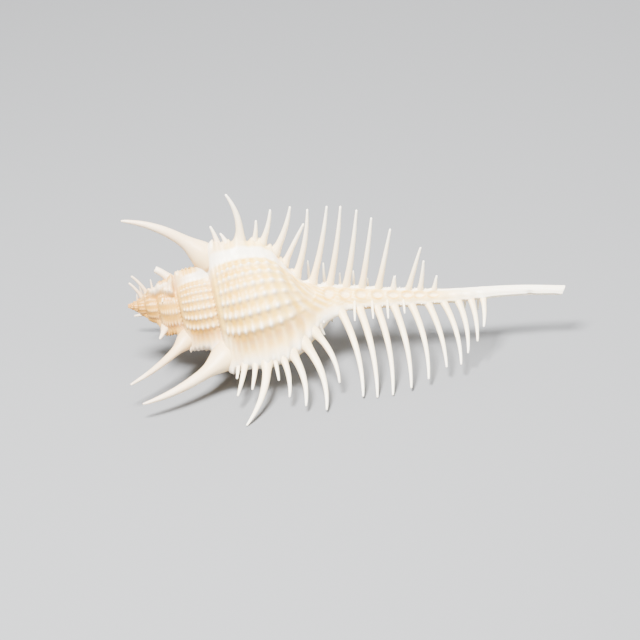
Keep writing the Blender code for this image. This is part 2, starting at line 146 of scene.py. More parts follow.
# Short spines beside each row: varix, root s, tip s, tip distance from the axis, width; mm
SHORT_SPINES = (
    (0, 48.6, 48.8, 5.2, 0.9), (0, 52.0, 51.8, 7.6, 1.0), (0, 55.9, 56.0, 6.9, 1.0),
    (0, 59.4, 59.4, 6.9, 1.0), (0, 63.0, 63.2, 5.2, 0.9),
    (1, 47.0, 46.7, 8.3, 1.0), (1, 77.2, 77.2, 4.6, 0.8), (1, 80.2, 80.2, 5.8, 0.8),
    (2, 42.0, 41.6, 9.0, 1.1), (2, 45.4, 45.1, 8.4, 1.1), (2, 48.8, 48.8, 6.0, 0.9),
    (2, 52.0, 51.9, 6.4, 0.9), (2, 55.2, 55.1, 4.6, 0.9),
)

# Small teeth of the early whorls: root s, root phi, tip s, tip phi, tip distance, width
SPIRE_TEETH = (
    (3.9, 60.0, 3.1, 62.0, 5.2, 0.9), (2.5, 58.0, 2.4, 62.0, 2.9, 0.7),
    (8.6, 28.0, 8.3, 6.0, 5.8, 1.0), (6.2, 76.0, 5.6, 80.0, 6.0, 0.8),
    (9.6, 80.0, 9.2, 84.0, 7.4, 0.8),
)

# Looks of the spines: radii, edges and widths in mm. A flare is a share of the width and its reach.
SNAPPED_TIP_RADIUS = 0.34
SNAPPED_EDGE = 0.5
BROKEN_EDGE = 0.12
FINE_TIP = 0.8
BIG_SPINE_WIDTH = 2.4
CANAL_SPINES_FROM = 44.0
BIG_FLARE = (0.42, 1.0)
BODY_FLARE = (0.22, 0.75)
CANAL_FLARE = (0.08, 0.75)
GROOVE_DEPTH = 0.16
GROOVE_WIDTH = 0.5
TIP_DOME = 0.8
BROKEN_TIP_DOME = 0.05
SPINE_ORANGE = 0.10
SPINE_WHITE = (0.36, 0.6, 0.7)

# Rise of the whorl round a spine's root: share of its width, reach and stretch along the whorl
SHORT_ROOT_RISE = 0.3
ROOT_RISE = 0.8
ROOT_RISE_LOST_ON_CANAL = 0.45
ROOT_RISE_FALL = (44.0, 50.0)
ROOT_REACH = (1.4, 0.4)
ROOT_STRETCH = 1.5
ROOT_WHITE_RISE = 0.8

# Teeth between the spines: mm and degrees, drawn between two ends
TOOTH_SEED = 7
TOOTH_RANGE = (20.0, 70.0)
TOOTH_STEP = 0.8
TOOTH_STEP_SPREAD = (0.6, 1.4)
TOOTH_SIDE = (-5.0, 4.0)
TOOTH_RISE = (0.25, 0.75)
TOOTH_LEAN = (-0.3, 0.5)
TOOTH_TURN = 4.0
TOOTH_WIDTH = 0.75
TOOTH_TIP_RADIUS = 0.1
SPIRE_TOOTH_TIP_RADIUS = 0.12
TOOTH_CLEARANCE = (0.55, 0.3)
TOOTH_ROW_WIDTH = 10.0
LOW_TEETH_FROM = 45.0
LOW_TOOTH = 0.6

# Sculpture: heights in mm on the body whorl, angles in degrees, places along a whorl (q) in suture
# units. A window is where it opens and where it closes. A hump is its middle and its width.
MAX_WHORLS = 12
VARIX_GAP = 120.0
VARIX_HEIGHT = 0.125
VARIX_EXTRA_ON_CANAL = 0.05
VARIX_BACK = 15.0
VARIX_STEEPNESS = 2.2
VARIX_FRONT = 21.0
VARIX_FRONT_FALL = (0.25, 1.0)
FULL_HEIGHT_S = 4.0
WHORL_UNIT = 20.0
WHORL_SCALES = (0.12, 1.1)
SPIRE_PHI = (250.0, 330.0)
CLIMB_HEIGHT = 0.12
CLIMB_HUMP = (-2.0, 10.0)
CLIMB_BEFORE = (1.38, 1.66)
CLIMB_AFTER = (1.0, 1.16)
NODULE_HEIGHT = 0.28
NODULE_HUMP = (1.0, 7.0)
NODULE_EXTRA_ON_SPIRE = 1.6
RIB_FIRST = 28.4
RIB_GAP = 15.0
RIB_CLOSING = 0.55
RIB_COUNT = 6
RIB_HEIGHT = 0.36
RIB_SHARPNESS = 1.7
RIB_WINDOW = ((-0.75, -0.3), (RIB_COUNT - 0.75, RIB_COUNT - 0.35))
RIB_RISE = (1.03, 1.10)
RIB_FALL = (1.65, 2.15)
RIB_FALL_SHARE = 0.75
EARLY_RIBS_PHI = 545.0
EARLY_RIBS_SHIFT = 0.25
CORD_FIRST = 1.10
CORD_GAP = 0.052
CORD_OPENING = 0.005
CORD_HEIGHT = 0.20
CORD_SHARPNESS = 1.3
CORD_START = (CORD_FIRST - 0.045, CORD_FIRST - 0.02)
CORD_WINDOW = ((1.05, 1.10), (2.0, 2.3))
CORD_LOW_END = (1.7, 2.0)
CORD_EXTRA_LOW = 0.7
CORD_EXTRA_REAR = 0.9
THREAD_HEIGHT = 0.05
THREAD_SHARPNESS = 3
BEAD_HEIGHT = 0.62
BEAD_SHARPNESS = 1.1
REAR_CELLS_HUMP = (18.0, 8.0)
FRONT_RISE = (0.05, 0.35)
FRONT_ANGLES = (-3.0, -7.0)
FRONT_SMOOTHING = 0.9
SUTURE_RIDGE = 0.45
SUTURE_RIDGE_Q = 1.045
SUTURE_RIDGE_WIDTH = 0.35
SUTURE_GROOVE = 1.2
SUTURE_GROOVE_WIDTH = 0.3
SUTURE_S = (4.0, 9.0)
LEDGE_PHI = 22.0
LEDGE_END = 11.0
LEDGE_TURN = 3.6
LEDGE_HEIGHT = 1.9
LEDGE_BACK = 55.0
LEDGE_FRONT = 2.6
LEDGE_WINDOW = ((3.2, 4.8), (10.3, 11.3))
LEDGE_WHORLS = (500.0, 560.0)
LEDGE_RIPPLE = 0.22
LEDGE_RIPPLE_STEP = 1.25
LEDGE_RIPPLE_RISE = (0.3, 1.0)
NECK_WINDOW = ((33.0, 40.0), (52.0, 62.0))
NECK_THREAD_TURN = 17.0
NECK_THREAD_STEP = 2.6
NECK_THREAD_HEIGHT = 0.13
NECK_THREAD_SHARPNESS = 1.5
CALLUS_EDGE = (-24.0, -12.0)
CALLUS_WINDOW = ((APERTURE[0] - 2.5, APERTURE[0]), (46.0, 49.0))
CALLUS_PAST_LIP = 2.0
CALLUS_HEIGHT = 0.25
CALLUS_COVER = 0.9
CELL_ROOTS = [
    row[0] for row in UPPER_BODY_SPINES + UPPER_CANAL_SPINES if row[0] > CANAL_ZONE[0]
]
CELL_DEPTH = 0.55
CELL_LENGTH = 1.45
CELL_PHI = -59.0
CELL_WIDTH = 27.0
CELL_EDGE = (0.55, 1.0)
CELL_RIM_HUMP = (1.0, 0.22)
CELL_RIM_LEAST = 0.3
SLIT_DEPTH = 0.5
SLIT_WIDTH = 0.3
SLIT_BEFORE_LIP = 2.0
SLIT_WINDOW = ((44.0, 47.0), (97.5, 99.5))
DENT_DEPTH = 0.4
DENT_HUMP = (92.0, 0.8)
DENT_PHI = -38.0
DENT_TURN = 40.0
END_SLANT = 0.45
END_SLANT_FROM = 97.0

# Hollow of the aperture, mm and degrees
HOLLOW_OUTER = 1.04
HOLLOW_ENDS = (1.3, 0.1)
HOLLOW_LEAST_DEPTH = 0.02
HOLLOW_LEAST_GAP = 0.04
HOLLOW_LEAVES_WALL = (0.0, 40.0)
HOLLOW_CROWDING = 0.9
HOLLOW_BOTTOM = 0.995
OUTSIDE_TURN = 359.0
# Rings that close the canal's end: share of the last ring's size, and way back in mm
CANAL_MOUTH = ((0.95, -0.10), (0.80, -0.14), (0.55, -0.02), (0.48, 0.3), (0.42, 1.4), (0.1, 1.6))

# Where colours show, in the units of the sculpture
VALLEY_SHARPNESS = 1.3
VALLEY_WINDOW = ((-1.0, -0.6), (RIB_COUNT - 0.7, RIB_COUNT - 0.2))
VALLEY_NEAR = ((1.12, 1.17), (1.28, 1.5))
VALLEY_FAR = ((1.2, 1.3), (1.6, 1.95))
FOOT_HUMP = (-VARIX_FRONT - 1.5, 2.0)
FOOT_WINDOW = ((1.08, 1.12), (1.5, 1.65))
FOOT_SHARPNESS = 1.5
REAR_LINE_HUMP = (12.0, 2.5)
STREAK_RISE = (1.7, 1.95)
UPPER_BAND = ((-22.0, -18.0), (-11.0, -7.0))
LOWER_BAND = ((-24.0, -10.0), (0.0, 13.0))
CANAL_BAND = ((-25.0, -12.0), (8.0, 20.0))
BAND_S = (9.0, 16.0)
WHITE_CORDS_S = (8.0, 18.0)
WHITE_RIBS_S = (6.0, 18.0)
CLIMB_WHITE_PER_MM = 0.65
CLIMB_WHITE_MOST = 0.9
PALE_CANAL_S = (50.0, 60.0)
PALE_END_S = (70.0, 82.0)
LEDGE_EDGE = ((-4.0, -1.0), (8.0, 24.0))
# Painted shadow: tan under the overhang of the ledge on the early whorls
LEDGE_PAINTED_SHADOW = ((-45.0, -12.0), (-5.0, -2.0))
SHADE_RISE = (1.08, 1.2)
SUTURE_LINE_Q = 1.004
SUTURE_LINE_WIDTH = 0.22
SUTURE_LINE_S = (4.0, 12.0)
# How strongly each mark shows, 0 to 1
STRENGTH = {
    "far valley": 0.60, "valley lost on cord": 0.35, "rear line": 0.4, "streak": 0.6,
    "streak lost on canal": 0.7, "neck groove": 0.45, "neck thread": 0.5, "cord": 0.22, "rib": 0.22,
    "early rib": 0.45, "canal band": 0.7, "pale canal": 0.35, "pale end": 0.65, "cell": 0.6,
    "ledge edge": 0.9, "callus": 0.85, "root": 0.45, "shade lost on cord": 0.7,
}

# Fineness: first s, last s, rows, columns; counts
APEX_ROWS = (0.25, 11.5, 86, 200)
BODY_ROWS = (11.5, 45.5, 200, 312)
CANAL_ROWS = (45.5, 100.0, 190, 60)
HOLLOW_COLUMNS = 20
SPINE_SIDES = 14
SPINE_RINGS = 30
SHORT_SPINE_RINGS = 10

# Material: noise scales per metre, and stretches of s in mm with the strengths at their ends
CREAM = (0.87, 0.575, 0.12, 1.0)
WHITE = (0.95, 0.87, 0.72, 1.0)
ORANGE = (0.69, 0.36, 0.002, 1.0)
# Tan: painted shadow under the ledge, and the tan towards the apex, which is partly the early whorls'
# own tone and partly painted shade
TAN_AND_PAINTED_SHADE = (0.46, 0.19, 0.015, 1.0)
SHADE = (0.56, 0.31, 0.12, 1.0)
BROWN = (0.42, 0.24, 0.12, 1.0)
INNER = (0.94, 0.88, 0.80, 1.0)
BLOTCH_SCALE = 260.0
FLECK_SCALE = 620.0
SPECK_SCALE = 900.0
GRAIN_SCALE = 1500.0
WHITE_BLOTCHES = (0.5, 0.75)
ORANGE_BLOTCHES = (1.3, 0.2)
SHADE_STRENGTH = 0.9
SPECK_LEVEL = 0.42
FLECK_LEVEL = 0.5
SPOT_CONTRAST = 3.0
FLECKS_RISE = (28.0, 44.0, 0.0, 0.55)
FLECKS_FALL = (62.0, 78.0, 1.0, 0.0)
# Tan towards the apex: partly the early whorls' own tone, partly painted shade of the spire
APEX_TINT_AND_SHADE = (0.0, 30.0, 0.95, 0.0)
APEX_TINT_LOST_ON_WHITE = 0.6
# Strength of the painted shadow under the ledge
LEDGE_SHADOW_STRENGTH = 0.8
ROUGHNESS = 0.30
ROUGHNESS_OF_GRAIN = 0.22
BUMP_STRENGTH = 0.35
BUMP_DEPTH = 0.00012
FLOOR_COLOUR = (0.165, 0.168, 0.172, 1.0)
FLOOR_HALF = 2.0

# Light, in metres and watts
LIGHT_TARGET = (0.0, 0.0, 0.015)
FRONT_LIGHT_PHI = -35.0
FRONT_LIGHT_DISTANCE = 0.6
WORLD_STRENGTH = 0.48

# Camera: metres, and where the apex and the canal's end lie in the 640 px frame
CAMERA_PHI = 0.0
CAMERA_DISTANCE = 0.90
SENSOR_WIDTH = 36.0
FRAME_WIDTH_AT_SHELL = 0.1460
PHOTO_APEX = (127.0, 306.2)
PHOTO_CANAL_END = (565.0, 290.4)
PHOTO_SIZE = 640.0


class Outline:
    """A smooth curve through an outline's points, read at many places at once."""

    def __init__(self, points, samples=1200):
        xs = np.array([p[0] for p in points])
        ys = np.array([p[1] for p in points])
        slopes = np.diff(ys) / np.diff(xs)
        tangents = np.concatenate(([slopes[0]], np.zeros(len(xs) - 2), [slopes[-1]]))
        for k in range(1, len(xs) - 1):
            before, after = slopes[k - 1], slopes[k]
            if before * after > 0:
                tangents[k] = 2 * before * after / (before + after)
        self.x = np.linspace(xs[0], xs[-1], samples)
        i = np.clip(np.searchsorted(xs, self.x, side="right") - 1, 0, len(xs) - 2)
        h = xs[i + 1] - xs[i]
        t = (self.x - xs[i]) / h
        self.y = (ys[i] * (1 + 2 * t) * (1 - t) ** 2 + h * tangents[i] * t * (1 - t) ** 2
                  + ys[i + 1] * t * t * (3 - 2 * t) + h * tangents[i + 1] * t * t * (t - 1))

    def __call__(self, x):
        return np.interp(x, self.x, self.y)


body_outline = Outline(BODY_OUTLINE)
spire_outline = Outline(SPIRE_OUTLINE)
canal_outline = Outline(CANAL_OUTLINE)
canal_sag = Outline(CANAL_SAG)


def smooth(low, high, x):
    """0 below low, 1 above high, smooth between."""
    t = np.clip((x - low) / (high - low), 0.0, 1.0)
    return t * t * (3 - 2 * t)


def window(x, opening, closing):
    """1 between two edges and 0 outside them, smooth across each edge."""
    return smooth(*opening, x) * (1 - smooth(*closing, x))


def hump(x, middle, width):
    """Bell curve of height 1."""
    return np.exp(-(((x - middle) / width) ** 2))


def wave(x):
    """0 to 1 ripple with its crest at every whole number."""
    return 0.5 + 0.5 * np.cos(2 * np.pi * x)


def suture(phi):
    """Distance of the suture from the apex at an unwound angle."""
    return FRONT_SUTURE * WHORL_RATIO ** (-phi / 360.0)


def crest(varix, s):
    """Angle of a varix crest at s."""
    return VARIX_PHI[varix] + TWIST_PER_MM * (np.clip(s, *TWIST_ENDS) - TWIST_S)


def lip_phi(s):
    """Angle of the outer lip's edge at s."""
    return crest(1, s) - LIP_FRONT


def unwind(s, phi):
    """The unwound angle of the whorl that shows at s."""
    lip = lip_phi(s)
    phi = lip + np.mod(phi - lip, 360.0)
    for _ in range(MAX_WHORLS):
        phi = np.where(s < suture(phi), phi + 360.0, phi)
    return phi


def wrap(angle):
    """Angle brought to -180..180."""
    return np.mod(angle + 180.0, 360.0) - 180.0


def canal_share(s):
    """0 on the body whorl, 1 on the canal, for one place."""
    start, end = CANAL_ZONE
    return min(1.0, max(0.0, (s - start) / (end - start)))


def full_height(s):
    """Share of their height that varices and their ends have near the apex."""
    return np.clip(s / FULL_HEIGHT_S, 0, 1)


def plain_radius(s, phi):
    """Radius of the smooth whorl and canal at an unwound angle, mm."""
    start = suture(phi)
    share = np.clip((phi - SPIRE_BLEND[0]) / (SPIRE_BLEND[1] - SPIRE_BLEND[0]), 0.0, 1.0)
    body = body_outline(s / start)
    whorl = start * (body + (spire_outline(s / start) - body) * share)
    return (whorl ** 3 + canal_outline(s) ** 3) ** (1 / 3)


def varix_shape(s, phi):
    """Height of the nearest varix as 0..1, and the signed angle to its crest."""
    away = np.stack([wrap(phi - crest(k, s)) for k in range(len(VARIX_PHI))])
    nearest = np.take_along_axis(away, np.argmin(np.abs(away), axis=0)[None], axis=0)[0]
    back = np.exp(-((nearest / VARIX_BACK) ** 2) * VARIX_STEEPNESS)
    front = 1 - smooth(*VARIX_FRONT_FALL, -nearest / VARIX_FRONT)
    return np.where(nearest > 0, back, front), nearest


def rib_index(behind):
    """Number of the rib at an angle behind the varix in front: whole numbers are rib crests."""
    inside = RIB_GAP ** 2 - 4 * RIB_CLOSING * (behind - RIB_FIRST)
    return (RIB_GAP - np.sqrt(np.maximum(inside, 0.0))) / (2 * RIB_CLOSING)


def cord_index(q):
    """Number of the spiral cord at a place along the whorl: whole numbers are cord crests."""
    inside = CORD_GAP ** 2 + 4 * CORD_OPENING * (q - CORD_FIRST)
    return (np.sqrt(np.maximum(inside, 0.0)) - CORD_GAP) / (2 * CORD_OPENING)


def past_ledge(s, phi):
    """Signed angle to the edge of the ledge on the early whorls."""
    return wrap(phi - LEDGE_PHI - LEDGE_TURN * (LEDGE_END - s))


def ledge(s, phi):
    """Height of the ledge on the front of the early whorls, mm."""
    away = past_ledge(s, phi)
    shape = hump(away, 0.0, np.where(away > 0, LEDGE_BACK, LEDGE_FRONT))
    shape = shape * window(s, *LEDGE_WINDOW) * smooth(*LEDGE_WHORLS, phi)
    return LEDGE_HEIGHT * s / LEDGE_END * shape


def climb(s, phi, away):
    """Height of a varix's upper end, which climbs on the whorl before it, mm."""
    start = suture(phi)
    reach = start * (1 - smooth(*CLIMB_AFTER, s / start))
    before = start * WHORL_RATIO * smooth(*CLIMB_BEFORE, s / start)
    reach = reach + np.where(phi >= lip_phi(s) + 360.0, before, 0.0)
    return CLIMB_HEIGHT * reach * hump(away, *CLIMB_HUMP) * full_height(s)


def callus_shape(s, phi):
    """1 on the callus beside the aperture, 0 away from it."""
    lip = lip_phi(s)
    behind_lip = np.where(phi > lip + 180.0, wrap(phi - lip), -180.0)
    shape = smooth(*CALLUS_EDGE, behind_lip) * window(s, *CALLUS_WINDOW)
    return shape * (phi < lip + 360.0 + CALLUS_PAST_LIP)


def cell_shape(s, phi):
    """Hollow and rim of the lens-shaped cells below the long spines of the upper varix, 0 to 1."""
    across = wrap(phi - crest(0, s) - CELL_PHI) / CELL_WIDTH
    hollow, rim = np.zeros_like(s), np.zeros_like(s)
    for root in CELL_ROOTS:
        distance = np.sqrt(((s - root) / CELL_LENGTH) ** 2 + across ** 2)
        hollow = np.maximum(hollow, 1 - smooth(*CELL_EDGE, distance))
        strength = np.clip(np.abs(across) + CELL_RIM_LEAST, 0, 1)
        rim = np.maximum(rim, hump(distance, *CELL_RIM_HUMP) * strength)
    return hollow, rim


class Spot:
    """Where unwound places lie in the sculpture, for their height and their colours."""

    def __init__(self, s, phi):
        self.s, self.phi = s, phi
        self.start = suture(phi)
        self.q = s / self.start
        self.scale = np.clip(self.start / WHORL_UNIT, *WHORL_SCALES)
        self.varix, self.away = varix_shape(s, phi)
        self.on_canal = smooth(*CANAL_ZONE, s)
        self.off_canal = 1 - self.on_canal
        self.climbing = climb(s, phi, self.away)
        behind = np.mod(phi - crest(1, s), VARIX_GAP)
        ribs = rib_index(behind)
        self.rib_place = np.where(phi > EARLY_RIBS_PHI, ribs / 2 + EARLY_RIBS_SHIFT, ribs)
        self.rib = wave(self.rib_place) ** RIB_SHARPNESS * window(self.rib_place, *RIB_WINDOW)
        fading = 1 - RIB_FALL_SHARE * smooth(*RIB_FALL, self.q)
        self.rib_fade = smooth(*RIB_RISE, self.q) * fading * self.off_canal
        self.cord_place = cord_index(self.q)
        started = smooth(*CORD_START, self.q)
        self.cord = started * wave(self.cord_place) ** CORD_SHARPNESS
        self.thread = started * wave(self.cord_place + 0.5) ** THREAD_SHARPNESS
        self.cord_fade = window(self.q, *CORD_WINDOW) * self.off_canal
        self.rear_cells = hump(behind, *REAR_CELLS_HUMP)
        self.on_neck = window(s, *NECK_WINDOW) * (1 - self.varix)
        threads = wave(phi / NECK_THREAD_TURN + s / NECK_THREAD_STEP)
        self.neck_thread = threads ** NECK_THREAD_SHARPNESS
        self.past_ledge = past_ledge(s, phi)
        self.on_ledge = window(s, *LEDGE_WINDOW)
        self.callus = callus_shape(s, phi)
        self.hollow, self.rim = cell_shape(s, phi)


def suture_relief(at):
    """Ridge and groove along the suture, in its ridge's height."""
    ridge = hump((at.q - SUTURE_RIDGE_Q) * at.start / at.scale, 0.0, SUTURE_RIDGE_WIDTH)
    groove = hump((at.q - 1.0) * at.start / at.scale, 0.0, SUTURE_GROOVE_WIDTH)
    return (ridge - SUTURE_GROOVE * groove) * (1 - at.varix) * smooth(*SUTURE_S, at.s)


def cord_relief(at):
    """Cords and the threads between them, smoother on the front of a varix, mm."""
    in_front = smooth(*FRONT_RISE, np.where(at.away < 0, at.varix, 0.0))
    in_front = in_front * smooth(*FRONT_ANGLES, at.away)
    extra = CORD_EXTRA_REAR * at.rear_cells + CORD_EXTRA_LOW * smooth(*CORD_LOW_END, at.q)
    height = CORD_HEIGHT * (1 + extra) * at.cord + THREAD_HEIGHT * at.thread
    return height * at.cord_fade * (1 - FRONT_SMOOTHING * in_front)


def relief(at):
    """Height of the sculpture, mm."""
    s, phi, scale = at.s, at.phi, at.scale
    step = ledge(s, phi)
    rise = VARIX_HEIGHT + VARIX_EXTRA_ON_CANAL * at.on_canal
    height = plain_radius(s, phi) * rise * at.varix * full_height(s) + step + at.climbing
    height = height + scale * RIB_HEIGHT * at.rib * at.rib_fade
    height = height + scale * SUTURE_RIDGE * suture_relief(at)
    height = height + scale * cord_relief(at)
    height = height + scale * BEAD_HEIGHT * (at.rib * at.cord) ** BEAD_SHARPNESS * at.rib_fade
    taller = 1 + NODULE_EXTRA_ON_SPIRE * smooth(*SPIRE_PHI, phi)
    nodules = hump(at.away, *NODULE_HUMP) * at.cord * at.cord_fade
    height = height + scale * NODULE_HEIGHT * taller * nodules
    height = height + NECK_THREAD_HEIGHT * at.neck_thread * at.on_neck
    ripple = wave(s / LEDGE_RIPPLE_STEP) * smooth(*LEDGE_RIPPLE_RISE, step)
    height = height + LEDGE_RIPPLE * ripple
    height = height * (1 - CALLUS_COVER * at.callus) + CALLUS_HEIGHT * at.callus
    height = height - CELL_DEPTH * at.on_canal * at.hollow
    dent = hump(s, *DENT_HUMP) * hump(wrap(phi - DENT_PHI), 0.0, DENT_TURN)
    return height - DENT_DEPTH * dent


def orange_mask(at):
    """Orange between the ribs, at the feet of the varices, and along threads and cells."""
    valley = (1 - wave(at.rib_place)) ** VALLEY_SHARPNESS * window(at.rib_place, *VALLEY_WINDOW)
    far = STRENGTH["far valley"] * window(at.q, *VALLEY_FAR)
    valley = valley * np.maximum(window(at.q, *VALLEY_NEAR), far)
    valley = valley * (1 - STRENGTH["valley lost on cord"] * at.cord) * at.off_canal
    foot = hump(at.away, *FOOT_HUMP) * (1 - at.cord) ** FOOT_SHARPNESS
    foot = foot * window(at.q, *FOOT_WINDOW) * at.off_canal
    rear = hump(at.away, *REAR_LINE_HUMP) * (1 - at.cord) ** 2
    rear = STRENGTH["rear line"] * rear * at.cord_fade
    streaks = smooth(*STREAK_RISE, at.q) * wave(at.cord_place + 0.5) ** 2
    streaks = streaks * (1 - STRENGTH["streak lost on canal"] * at.on_canal)
    grooves = STRENGTH["neck groove"] * at.on_neck * (1 - at.neck_thread)
    marks = (valley, foot, rear, STRENGTH["streak"] * streaks, grooves, at.on_canal * at.rim)
    return np.maximum.reduce(marks) * (1 - at.callus)


def white_mask(at):
    """White on beads, varices, cords, the ledge's edge, the callus and the canal's end."""
    s, away = at.s, at.away
    on_body = smooth(*BAND_S, s)
    upper = np.abs(wrap(at.phi - crest(0, s))) < VARIX_GAP / 2
    band = np.where(upper, window(away, *UPPER_BAND), window(away, *LOWER_BAND)) * on_body
    cords = STRENGTH["cord"] * at.cord * at.cord_fade * smooth(*WHITE_CORDS_S, s)
    least, early = STRENGTH["rib"], STRENGTH["early rib"]
    ribs = at.rib * (least + (1 - least) * at.cord) * at.rib_fade
    ribs = ribs * (early + (1 - early) * smooth(*WHITE_RIBS_S, s))
    climbing = np.clip(CLIMB_WHITE_PER_MM * at.climbing / at.scale, 0, CLIMB_WHITE_MOST) * on_body
    canal_band = STRENGTH["canal band"] * at.on_canal * window(away, *CANAL_BAND)
    threads = STRENGTH["neck thread"] * at.on_neck * at.neck_thread
    pale = STRENGTH["pale canal"] * smooth(*PALE_CANAL_S, s)
    pale = pale + STRENGTH["pale end"] * smooth(*PALE_END_S, s)
    canal = at.on_canal * np.maximum(pale, STRENGTH["cell"] * at.hollow)
    edge = STRENGTH["ledge edge"] * window(at.past_ledge, *LEDGE_EDGE) * at.on_ledge
    callus = STRENGTH["callus"] * at.callus
    marks = (ribs, band, cords, climbing, canal_band, threads, canal, edge, callus)
    return np.clip(np.maximum.reduce(marks), 0, 1)


def colour_masks(at):
    """Colour masks by name, 0 to 1. The tan mask is painted shadow under the ledge."""
    shade = at.rear_cells * (1 - STRENGTH["shade lost on cord"] * at.cord)
    shade = shade * smooth(*SHADE_RISE, at.q) * at.off_canal * (1 - at.callus)
    line = hump((at.q - SUTURE_LINE_Q) * at.start, 0.0, SUTURE_LINE_WIDTH)
    return {
        # painted shadow under the ledge
        "tan": window(at.past_ledge, *LEDGE_PAINTED_SHADOW) * at.on_ledge,
        "orange": orange_mask(at),
        "white": white_mask(at),
        "shade": shade,
        "suture": line * smooth(*SUTURE_LINE_S, at.s),
    }


def spine_direction(varix, s):
    """Angle in which a long spine of a varix points."""
    share = canal_share(s)
    return SPINE_PHI[varix] * (1 - share) + CANAL_SPINE_PHI[varix] * share


def place(s, phi, distance):
    """Point in the shell frame, mm; works on arrays too."""
    turn = np.radians(phi)
    sag = canal_sag(s)
    across, up = -distance * np.cos(turn), distance * np.sin(turn) + sag
    return np.stack(np.broadcast_arrays(s, across, up), -1)


def coarse_radius(s, phi):
    """Radius of the CAD surface at a spine's root, mm."""
    varix, _ = varix_shape(np.array(s), np.array(phi))
    rise = VARIX_HEIGHT + VARIX_EXTRA_ON_CANAL * canal_share(s)
    rise = rise * float(varix) * min(1.0, s / FULL_HEIGHT_S)
    return float(plain_radius(s, phi)) * (1 + rise)


class Spine:
    """One spine: its curved centre line, its width and the place where it leaves the shell."""

    def __init__(self, root_s, root_phi, tip, width, bow=0.0, tip_radius=TIP_RADIUS, short=False,
                 jagged=0.0):
        self.s, self.phi, self.width, self.short, self.jagged = root_s, root_phi, width, short, jagged
        self.sink = ROOT_SINK * width + ROOT_DEPTH
        distance = coarse_radius(root_s, float(unwind(root_s, root_phi))) - self.sink
        self.root = place(root_s, root_phi, distance)
        self.tip = tip
        self.bow = bow
        self.tip_radius = tip_radius
        self.length = float(np.linalg.norm(tip - self.root))

    def line(self, count):
        """Points of the centre line."""
        run = self.tip - self.root
        along = run / self.length
        outward = np.array((0.0, self.root[1], self.root[2]))
        outward /= np.linalg.norm(outward)
        side = np.array((1.0, 0.0, 0.0)) - along * along[0]
        side /= np.linalg.norm(side)
        t = np.linspace(0, 1, count)[:, None]
        arch = 0.0 if self.short else SPINE_ARCH * (1 - along @ outward) * self.length
        return self.root + run * t + (side * self.bow * 4 + outward * arch) * t * (1 - t)

    def flare(self):
        """Share of the width that the spine widens by at its root, and the reach of that."""
        if self.width > BIG_SPINE_WIDTH:
            return BIG_FLARE
        return BODY_FLARE if self.s < CANAL_SPINES_FROM else CANAL_FLARE

    def radii(self, count):
        """Radius of the spine along its line, flared where it leaves the shell."""
        t = np.linspace(0, 1, count)
        fine = self.tip_radius * (1.0 if self.tip_radius == BROKEN_TIP_RADIUS else FINE_TIP)
        plain = fine + (self.width / 2 - fine) * (1 - t) ** SPINE_TAPER
        if self.short:
            return plain
        share, reach = self.flare()
        free = np.maximum(t * self.length - self.sink, 0.0)
        return plain + share * self.width * hump(free, 0.0, reach * self.width)


def all_spines():
    """Every spine of the shell."""
    rows = [(k, *row) for k, row in enumerate(SHOULDER_SPINES)] + list(SPIRE_SPINES)
    rows += [(0, *row) for row in UPPER_BODY_SPINES + UPPER_CANAL_SPINES]
    rows += [(1, *row) for row in LIP_BODY_SPINES + LIP_CANAL_SPINES]
    rows += [(2, *row) for row in REAR_BODY_SPINES + REAR_CANAL_SPINES]
    made = []
    for varix, root_s, tip_s, tip_distance, bow, width in rows + [BROKEN_SPINE]:
        tip = place(tip_s, spine_direction(varix, root_s), tip_distance)
        tip_radius, jagged = TIP_RADIUS, 0.0
        if (varix, root_s) == BROKEN_SPINE[:2]:
            tip_radius, jagged = BROKEN_TIP_RADIUS, BROKEN_EDGE
        elif (varix, root_s) == SNAPPED_SPINE:
            tip_radius, jagged = SNAPPED_TIP_RADIUS, SNAPPED_EDGE
        made.append(Spine(root_s, float(crest(varix, root_s)), tip, width, bow, tip_radius,
                          jagged=jagged))
    for varix, root_s, tip_s, tip_distance, width in SHORT_SPINES:
        line = float(crest(varix, root_s))
        tip = place(tip_s, line + SHORT_SPINE_LEAN[varix], tip_distance)
        made.append(Spine(root_s, line + SHORT_SPINE_ROOT, tip, width,
                          tip_radius=SHORT_TIP_RADIUS, short=True))
    return made


def taken(s, varix, spines):
    """Whether a spine of the varix leaves no room for a tooth at s."""
    share, margin = TOOTH_CLEARANCE
    return any(
        abs(s - spine.s) < share * spine.width + margin for spine in spines
        if abs(wrap(spine.phi - crest(varix, s))) < TOOTH_ROW_WIDTH
    )


def all_teeth(spines):
    """Small teeth along the varices between the spines, and on the early whorls."""
    made = []
    for root_s, root_phi, tip_s, tip_phi, distance, width in SPIRE_TEETH:
        made.append(Spine(root_s, root_phi, place(tip_s, tip_phi, distance), width,
                          tip_radius=SPIRE_TOOTH_TIP_RADIUS, short=True))
    chance = np.random.default_rng(TOOTH_SEED)
    first, last = TOOTH_RANGE
    for varix in range(len(VARIX_PHI)):
        s = first
        while s < last:
            s += TOOTH_STEP * chance.uniform(*TOOTH_STEP_SPREAD)
            side = chance.uniform(*TOOTH_SIDE)
            rise, lean = chance.uniform(*TOOTH_RISE), chance.uniform(*TOOTH_LEAN)
            if taken(s, varix, spines):
                continue
            phi = float(crest(varix, s)) + side
            top = coarse_radius(s, float(unwind(s, phi)))
            top += rise * (LOW_TOOTH if s > LOW_TEETH_FROM else 1.0)
            made.append(Spine(s, phi, place(s + lean, phi - TOOTH_TURN, top), TOOTH_WIDTH,
                              tip_radius=TOOTH_TIP_RADIUS, short=True))
    return made


